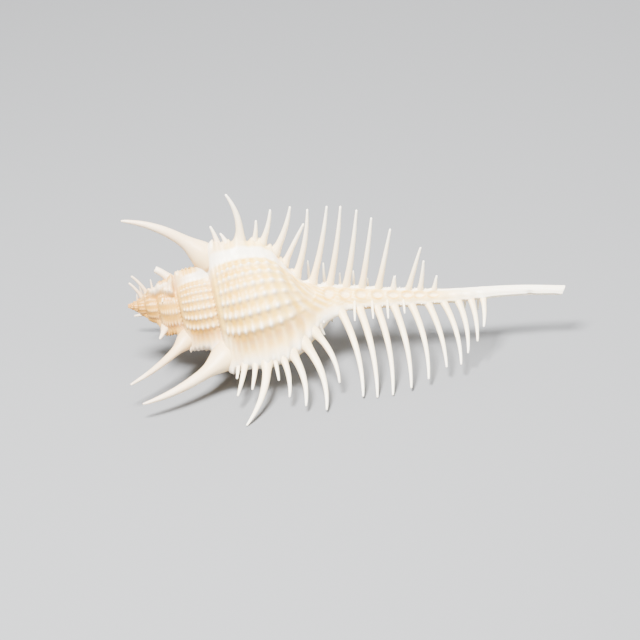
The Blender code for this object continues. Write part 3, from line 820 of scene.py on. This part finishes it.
def root_flares(s, phi, base, spines):
    """Rise of the surface round the roots of the spines, mm."""
    rise = np.zeros_like(base)
    for spine in spines:
        share = ROOT_RISE - ROOT_RISE_LOST_ON_CANAL * smooth(*ROOT_RISE_FALL, spine.s)
        share = SHORT_ROOT_RISE if spine.short else share
        across = np.radians(wrap(phi - spine.phi)) * base / ROOT_STRETCH
        reach = ROOT_REACH[0] * spine.width + ROOT_REACH[1]
        distance = np.sqrt((s - spine.s) ** 2 + across ** 2) / reach
        rise = np.maximum(rise, share * spine.width * np.clip(1 - distance, 0, 1) ** 2)
    return rise


def surface(s, phi, spines):
    """Radius of the finished surface and its colour masks, at unwound angles."""
    base = plain_radius(s, phi)
    at = Spot(s, phi)
    masks = colour_masks(at)
    flares = root_flares(s, phi, base, spines)
    pale_roots = STRENGTH["root"] * np.clip(flares / ROOT_WHITE_RISE, 0, 1)
    masks["white"] = np.maximum(masks["white"], pale_roots)
    across = np.radians(wrap(phi - lip_phi(s) + SLIT_BEFORE_LIP)) * base
    slit = SLIT_DEPTH * hump(across, 0.0, SLIT_WIDTH) * window(s, *SLIT_WINDOW)
    return base + relief(at) + flares - slit, masks


def hollow_walls(s, turns):
    """Radii of the hollow's inner and outer wall, from the mouth back along turns, and its depth."""
    middle, half = sum(APERTURE) / 2, (APERTURE[1] - APERTURE[0]) / 2
    lip = lip_phi(s)
    outer = plain_radius(s, lip + turns) * HOLLOW_OUTER - LIP_THICKNESS
    inner = plain_radius(s, lip + turns + 360.0)
    shrink = WHORL_RATIO ** (-turns / 360.0)
    ends = np.sqrt(np.clip(1 - ((s - middle * shrink) / (half * shrink)) ** 2, 0.0, 1.0))
    ends = np.clip(ends * HOLLOW_ENDS[0] + HOLLOW_ENDS[1], 0, 1)
    depth = APERTURE_DEPTH * np.sqrt(max(HOLLOW_LEAST_DEPTH, 1 - ((s - middle) / half) ** 2))
    close = np.sqrt(np.clip(1 - (turns / depth) ** 2, 0, 1))
    gap = np.maximum(HOLLOW_LEAST_GAP, (outer - inner) / 2 * close * ends)
    off_wall = ((outer + inner) / 2 - inner - gap) * smooth(*HOLLOW_LEAVES_WALL, turns)
    centre = inner + gap + off_wall
    return centre - gap, centre + gap, depth


def ring(s, columns, spines):
    """Points of one closed section at s, and their masks."""
    lip = float(lip_phi(s))
    angles = lip + np.arange(columns) / (columns - 1) * OUTSIDE_TURN
    along = np.full(columns, s)
    radii, masks = surface(along, unwind(along, angles), spines)
    inside = np.zeros(columns)
    if APERTURE[0] < s < APERTURE[1]:
        share = np.linspace(0, 1, HOLLOW_COLUMNS) ** HOLLOW_CROWDING
        _, _, depth = hollow_walls(s, np.array([0.0]))
        turns = share * depth * HOLLOW_BOTTOM
        low, high, _ = hollow_walls(s, turns)
        angles = np.concatenate((angles, lip + 360.0 + turns, lip + 360.0 + turns[::-1]))
        radii = np.concatenate((radii, low, high[::-1]))
        inside = np.concatenate((inside, np.ones(2 * HOLLOW_COLUMNS)))
        blank = np.zeros(2 * HOLLOW_COLUMNS)
        masks = {name: np.concatenate((mask, blank)) for name, mask in masks.items()}
    along = np.full(len(angles), s)
    points = place(along, angles, radii)
    slant = END_SLANT * np.clip((s - END_SLANT_FROM) / (LENGTH - END_SLANT_FROM), 0, 1)
    points[:, 0] -= slant * (1 - np.sin(np.radians(angles)))
    masks["inside"] = inside
    masks["skin"] = 1 - inside
    masks["s"] = along
    return points, masks


def hollow_end(plain, short, split, long):
    """Faces that close the hollow between a plain section and a split one."""
    faces = []
    extra = list(range(short - 1, long)) + [0]
    for k, (i, j) in enumerate(zip(extra, extra[1:])):
        corner = short - 1 if 2 * k < len(extra) - 1 else 0
        faces.append((plain + corner, split + j, split + i))
        if 2 * k < len(extra) - 1 <= 2 * (k + 1):
            faces.append((plain + short - 1, plain, split + j))
    return faces


def join_rings(start_a, count_a, start_b, count_b):
    """Faces between two closed rings of any counts."""
    if count_a == count_b:
        i = np.arange(count_a)
        j = (i + 1) % count_a
        corners = np.stack((start_a + i, start_a + j, start_b + j, start_b + i), -1)
        return [tuple(face) for face in corners.tolist()]
    faces = []
    if abs(count_b - count_a) == 2 * HOLLOW_COLUMNS:
        for i in range(min(count_a, count_b) - 1):
            faces.append((start_a + i, start_a + i + 1, start_b + i + 1, start_b + i))
        if count_b > count_a:
            return faces + hollow_end(start_a, count_a, start_b, count_b)
        return faces + [face[::-1] for face in hollow_end(start_b, count_b, start_a, count_a)]
    i = j = 0
    while i < count_a or j < count_b:
        here, there = start_a + i % count_a, start_b + j % count_b
        if (i + 1) * count_b <= (j + 1) * count_a and i < count_a:
            faces.append((here, start_a + (i + 1) % count_a, there))
            i += 1
        else:
            faces.append((here, start_b + (j + 1) % count_b, there))
            j += 1
    return faces


def new_mesh(name, points, faces, masks):
    """A smooth mesh object in the shell frame, with one float attribute for each mask."""
    mesh = bpy.data.meshes.new(name)
    mesh.from_pydata([tuple(p) for p in points.tolist()], [], faces)
    mesh.update()
    for label, values in masks.items():
        layer = mesh.attributes.new(label, "FLOAT", "POINT")
        layer.data.foreach_set("value", np.asarray(values, dtype=np.float32))
    mesh.shade_smooth()
    thing = bpy.data.objects.new(name, mesh)
    bpy.context.scene.collection.objects.link(thing)
    return thing


def canal_mouth(last_points, last_masks):
    """Rings that turn in at the end of the canal: a rim, and a short bore."""
    centre = last_points.mean(axis=0)
    rings = []
    for share, back in CANAL_MOUTH:
        points = centre + (last_points - centre) * share
        points[:, 0] -= back
        rings.append((points, last_masks))
    return rings


def make_body(spines):
    """Whorls and canal, from the apex to the end of the canal."""
    rings = []
    for start, end, rows, columns in (APEX_ROWS, BODY_ROWS, CANAL_ROWS):
        for s in np.linspace(start, end, rows, endpoint=end == LENGTH):
            rings.append(ring(float(s), columns, spines))
    rings += canal_mouth(*rings[-1])
    points = np.concatenate([r[0] for r in rings])
    masks = {name: np.concatenate([r[1][name] for r in rings]) for name in rings[0][1]}
    faces, start = [], 0
    for a, b in zip(rings, rings[1:]):
        faces += join_rings(start, len(a[0]), start + len(a[0]), len(b[0]))
        start += len(a[0])
    faces.append(tuple(range(len(rings[0][0])))[::-1])
    faces.append(tuple(range(start, start + len(rings[-1][0]))))
    return new_mesh("shell_whorls", points, faces, masks)


def lies_flat(spine):
    """Whether a spine runs round the shell rather than out of it or along it."""
    run = (spine.tip - spine.root) / spine.length
    outward = np.array((0.0, spine.root[1], spine.root[2]))
    return abs(run @ outward) < 0.6 * np.linalg.norm(outward) and abs(run[0]) < 0.7


def spine_tube(spine):
    """Points of one spine, with a shallow groove along its growing side, and its count of rings."""
    count = SHORT_SPINE_RINGS if spine.short else SPINE_RINGS
    line, radii = spine.line(count), spine.radii(count)
    chance = np.random.default_rng(int(spine.s * 100))
    lengthwise = np.array((1.0, 0.0, 0.0))
    flat = lies_flat(spine)
    points = []
    for k in range(count):
        along = line[min(k + 1, count - 1)] - line[max(k - 1, 0)]
        along /= np.linalg.norm(along)
        radial = np.array((0.0, line[k][1], line[k][2]))
        growth = lengthwise if flat else np.cross(radial, lengthwise)
        growth = growth - along * (growth @ along)
        growth /= np.linalg.norm(growth)
        other = np.cross(along, growth)
        for i in range(SPINE_SIDES):
            turn = 2 * math.pi * i / SPINE_SIDES
            off_groove = min(turn, 2 * math.pi - turn)
            radius = radii[k] * (1 - GROOVE_DEPTH * math.exp(-((off_groove / GROOVE_WIDTH) ** 2)))
            point = line[k] + (growth * math.cos(turn) + other * math.sin(turn)) * radius
            if k == count - 1 and spine.jagged:
                point = point + along * chance.uniform(-1.0, 1.0) * spine.jagged
            points.append(point)
    end = (line[-1] - line[-2]) / np.linalg.norm(line[-1] - line[-2])
    tip = line[-1] + end * (BROKEN_TIP_DOME if spine.jagged else radii[-1] * TIP_DOME)
    return np.array(points + [line[0], tip]), count


def make_spines(spines):
    """All spines as one mesh."""
    points, faces, reach = [], [], []
    start = 0
    for spine in spines:
        tube, count = spine_tube(spine)
        for k in range(count - 1):
            low = start + k * SPINE_SIDES
            faces += join_rings(low, SPINE_SIDES, low + SPINE_SIDES, SPINE_SIDES)
        foot, tip = start + len(tube) - 2, start + len(tube) - 1
        last = start + (count - 1) * SPINE_SIDES
        for i in range(SPINE_SIDES):
            j = (i + 1) % SPINE_SIDES
            faces.append((start + j, start + i, foot))
            faces.append((last + i, last + j, tip))
        points.append(tube)
        along = np.repeat(np.linspace(0, 1, count), SPINE_SIDES)
        reach.append(np.concatenate((along, (0.0, 1.0))))
        start += len(tube)
    points = np.concatenate(points)
    reach = np.concatenate(reach)
    least, rise, power = SPINE_WHITE
    masks = {name: np.zeros(len(points)) for name in ("tan", "shade", "suture", "inside", "skin")}
    masks["orange"] = SPINE_ORANGE * (1 - reach) ** 2
    masks["white"] = least + rise * reach ** power
    masks["s"] = points[:, 0]
    return new_mesh("shell_spines", points, faces, masks)


def rest_turn(spines):
    """Turn that lays the shell on three of its spine tips."""
    tips = [Vector(spine.tip) for spine in spines]
    mass = Vector(place(MASS_CENTRE_S, 0.0, 0.0))
    best = None
    for trio in itertools.combinations([p for p in tips if p.z < 0], 3):
        normal = (trio[1] - trio[0]).cross(trio[2] - trio[0])
        if normal.length < 1.0:
            continue
        normal.normalize()
        if normal.z < 0:
            normal.negate()
        level = normal.dot(trio[0])
        if any(normal.dot(p) < level - 0.02 for p in tips):
            continue
        inside = all(
            normal.dot((b - a).cross(mass - a)) * normal.dot((b - a).cross(c - a)) > 0
            for a, b, c in (trio, trio[1:] + trio[:1], trio[2:] + trio[:2])
        )
        if inside and (best is None or normal.z > best.z):
            best = normal
    spin = best.rotation_difference(Vector((0, 0, 1))).to_matrix()
    heading = spin @ Vector((1, 0, 0))
    return Matrix.Rotation(-math.atan2(heading.y, heading.x), 3, "Z") @ spin


def rest_matrix(spines):
    """Shell frame, mm, to the frame of the CAD shell, m."""
    turn = rest_turn(spines)
    tips = np.array([turn @ Vector(spine.tip) for spine in spines])
    end = turn @ Vector(place(LENGTH, 0.0, 0.0))
    low, high = CAD_BOX
    shift = Vector((
        high.x / MM - end.x,
        (low.y + high.y) / 2 / MM - (tips[:, 1].min() + tips[:, 1].max()) / 2,
        low.z / MM - tips[:, 2].min() + TIP_RADIUS,
    ))
    return Matrix.Scale(MM, 4) @ Matrix.Translation(shift) @ turn.to_4x4()


class Nodes:
    """Short way to add and join shader nodes."""

    def __init__(self, material):
        self.tree = material.node_tree

    def feed(self, socket, value):
        """Links a socket to another, or sets its constant."""
        if isinstance(value, bpy.types.NodeSocket):
            self.tree.links.new(value, socket)
        else:
            socket.default_value = value

    def add(self, kind, **inputs):
        node = self.tree.nodes.new(kind)
        for key, value in inputs.items():
            self.feed(node.inputs[key.replace("_", " ")], value)
        return node

    def mix(self, factor, a, b):
        node = self.tree.nodes.new("ShaderNodeMix")
        node.data_type = "RGBA"
        for socket, value in ((node.inputs[0], factor), (node.inputs[6], a), (node.inputs[7], b)):
            self.feed(socket, value)
        return node.outputs[2]

    def math(self, operation, a, b, clamp=False):
        node = self.tree.nodes.new("ShaderNodeMath")
        node.operation = operation
        node.use_clamp = clamp
        for socket, value in zip(node.inputs, (a, b)):
            self.feed(socket, value)
        return node.outputs[0]

    def times(self, a, b, clamp=False):
        return self.math("MULTIPLY", a, b, clamp)

    def line(self, value, slope, start):
        return self.math("ADD", self.times(value, slope), start)

    def rest_of(self, value):
        return self.math("SUBTRACT", 1.0, value)

    def spots(self, noise, level):
        """Spots where a noise passes a level, 0 to 1."""
        return self.times(self.math("SUBTRACT", noise, level), SPOT_CONTRAST, True)

    def ramp(self, value, start, end, low, high):
        """Low at the start of a stretch to high at its end."""
        return self.add("ShaderNodeMapRange", Value=value, From_Min=start, From_Max=end,
                        To_Min=low, To_Max=high).outputs[0]

    def attribute(self, name):
        node = self.tree.nodes.new("ShaderNodeAttribute")
        node.attribute_name = name
        return node.outputs["Fac"]

    def noise(self, scale, detail, roughness=0.5):
        place_in = self.tree.nodes.new("ShaderNodeTexCoord").outputs["Object"]
        return self.add("ShaderNodeTexNoise", Vector=place_in, Scale=scale, Detail=detail,
                        Roughness=roughness).outputs["Fac"]


def shell_material():
    """Cream shell: white beads and varices, orange between the ribs, tan towards the apex that is
    partly painted shade, and painted shadow under the ledge.
    """
    material = bpy.data.materials.new("shell_fine")
    material.use_nodes = True
    n = Nodes(material)
    finish = material.node_tree.nodes["Principled BSDF"]
    along = n.attribute("s")
    blotches = n.noise(BLOTCH_SCALE, 3.0)
    grain = n.noise(GRAIN_SCALE, 5.0, 0.6)
    white = n.times(n.attribute("white"), n.line(blotches, *WHITE_BLOTCHES), True)
    colour = n.mix(white, CREAM, WHITE)
    colour = n.mix(n.times(n.attribute("shade"), SHADE_STRENGTH, True), colour, SHADE)

    orange = n.times(n.attribute("orange"), n.line(blotches, *ORANGE_BLOTCHES), True)
    fleck = n.spots(n.noise(FLECK_SCALE, 2.0, 0.6), FLECK_LEVEL)
    flecked = n.times(n.ramp(along, *FLECKS_RISE), n.ramp(along, *FLECKS_FALL))
    fleck = n.times(n.times(fleck, flecked), n.attribute("skin"))
    colour = n.mix(n.math("MAXIMUM", orange, fleck), colour, ORANGE)

    # Tan towards the apex, partly own tone and partly painted shade; then painted shadow under the
    # ledge
    off_white = n.rest_of(n.times(white, APEX_TINT_LOST_ON_WHITE))
    apex = n.times(n.ramp(along, *APEX_TINT_AND_SHADE), off_white)
    apex = n.math("MAXIMUM", apex, n.times(n.attribute("tan"), LEDGE_SHADOW_STRENGTH))
    colour = n.mix(apex, colour, TAN_AND_PAINTED_SHADE)
    dirt = n.spots(n.noise(SPECK_SCALE, 2.0), SPECK_LEVEL)
    colour = n.mix(n.times(n.attribute("suture"), dirt, True), colour, BROWN)
    colour = n.mix(n.attribute("inside"), colour, INNER)

    n.feed(finish.inputs["Base Color"], colour)
    n.feed(finish.inputs["Roughness"], n.line(grain, ROUGHNESS_OF_GRAIN, ROUGHNESS))
    finish.inputs["Specular IOR Level"].default_value = 0.45
    finish.inputs["Subsurface Weight"].default_value = 0.15
    finish.inputs["Subsurface Radius"].default_value = (1.0, 0.7, 0.45)
    finish.inputs["Subsurface Scale"].default_value = 0.0008
    bump = n.add("ShaderNodeBump", Strength=BUMP_STRENGTH, Distance=BUMP_DEPTH, Height=grain)
    n.feed(finish.inputs["Normal"], bump.outputs[0])
    return material


def make_floor():
    """Plain pale floor."""
    mesh = bpy.data.meshes.new("floor")
    corners = [(-1, -1), (1, -1), (1, 1), (-1, 1)]
    mesh.from_pydata([(x * FLOOR_HALF, y * FLOOR_HALF, 0) for x, y in corners], [], [(0, 1, 2, 3)])
    floor = bpy.data.objects.new("floor", mesh)
    bpy.context.scene.collection.objects.link(floor)
    material = bpy.data.materials.new("floor")
    material.use_nodes = True
    finish = material.node_tree.nodes["Principled BSDF"]
    finish.inputs["Base Color"].default_value = FLOOR_COLOUR
    finish.inputs["Roughness"].default_value = 0.9
    mesh.materials.append(material)


def soft_light(name, position, size, power):
    """One square soft light that faces the shell."""
    data = bpy.data.lights.new(name, "AREA")
    data.size = size
    data.energy = power
    lamp = bpy.data.objects.new(name, data)
    lamp.location = position
    aim = Vector(LIGHT_TARGET) - Vector(position)
    lamp.rotation_euler = aim.to_track_quat("-Z", "Y").to_euler()
    bpy.context.scene.collection.objects.link(lamp)


def make_lights(to_world):
    """Soft light from above, a weak fill, a low one from the front, one behind, a pale world."""
    low_front = to_world.to_3x3() @ Vector(place(0.0, FRONT_LIGHT_PHI, 1.0))
    soft_light("key", (-0.10, -0.16, 0.48), 0.17, 21.0)
    soft_light("fill", (0.45, -0.25, 0.25), 0.4, 3.2)
    soft_light("front", low_front.normalized() * FRONT_LIGHT_DISTANCE, 0.3, 6.0)
    soft_light("rim", (0.1, 0.5, 0.35), 0.4, 3.4)
    world = bpy.context.scene.world or bpy.data.worlds.new("world")
    bpy.context.scene.world = world
    world.use_nodes = True
    background = world.node_tree.nodes["Background"]
    background.inputs[0].default_value = (1.0, 1.0, 1.0, 1.0)
    background.inputs[1].default_value = WORLD_STRENGTH


def make_camera(to_world):
    """Camera at the photo's angle: the shell's axis lies where the photo shows it."""
    apex = to_world @ Vector(place(0.0, 0.0, 0.0))
    end = to_world @ Vector(place(LENGTH, 0.0, 0.0))
    data = bpy.data.cameras.new("camera")
    data.sensor_width = SENSOR_WIDTH
    data.lens = SENSOR_WIDTH * CAMERA_DISTANCE / FRAME_WIDTH_AT_SHELL
    camera = bpy.data.objects.new("camera", data)
    back = to_world.to_3x3() @ Vector(place(0.0, CAMERA_PHI, 1.0))
    back.normalize()
    right = Vector((0.0, 0.0, 1.0)).cross(back).normalized()
    up = back.cross(right)
    run_x, run_y = PHOTO_CANAL_END[0] - PHOTO_APEX[0], PHOTO_APEX[1] - PHOTO_CANAL_END[1]
    axis = end - apex
    roll = math.atan2(axis.dot(up), axis.dot(right)) - math.atan2(run_y, run_x)
    turned_right = right * math.cos(roll) + up * math.sin(roll)
    turned_up = up * math.cos(roll) - right * math.sin(roll)
    scale = FRAME_WIDTH_AT_SHELL / PHOTO_SIZE
    off_x = (PHOTO_APEX[0] + PHOTO_CANAL_END[0]) / 2 - PHOTO_SIZE / 2
    off_y = (PHOTO_APEX[1] + PHOTO_CANAL_END[1]) / 2 - PHOTO_SIZE / 2
    target = (apex + end) / 2 - turned_right * off_x * scale + turned_up * off_y * scale
    turn = Matrix((turned_right, turned_up, back)).transposed()
    camera.matrix_world = Matrix.Translation(target + back * CAMERA_DISTANCE) @ turn.to_4x4()
    bpy.context.scene.collection.objects.link(camera)
    bpy.context.scene.camera = camera


spines = all_spines()
teeth = all_teeth(spines)
to_world = rest_matrix(spines)
material = shell_material()
for piece in (make_body(spines), make_spines(spines + teeth)):
    piece.data.transform(to_world)
    piece.data.materials.append(material)
    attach(piece, "root")
    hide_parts("shell")
make_floor()
make_lights(to_world)
make_camera(to_world)
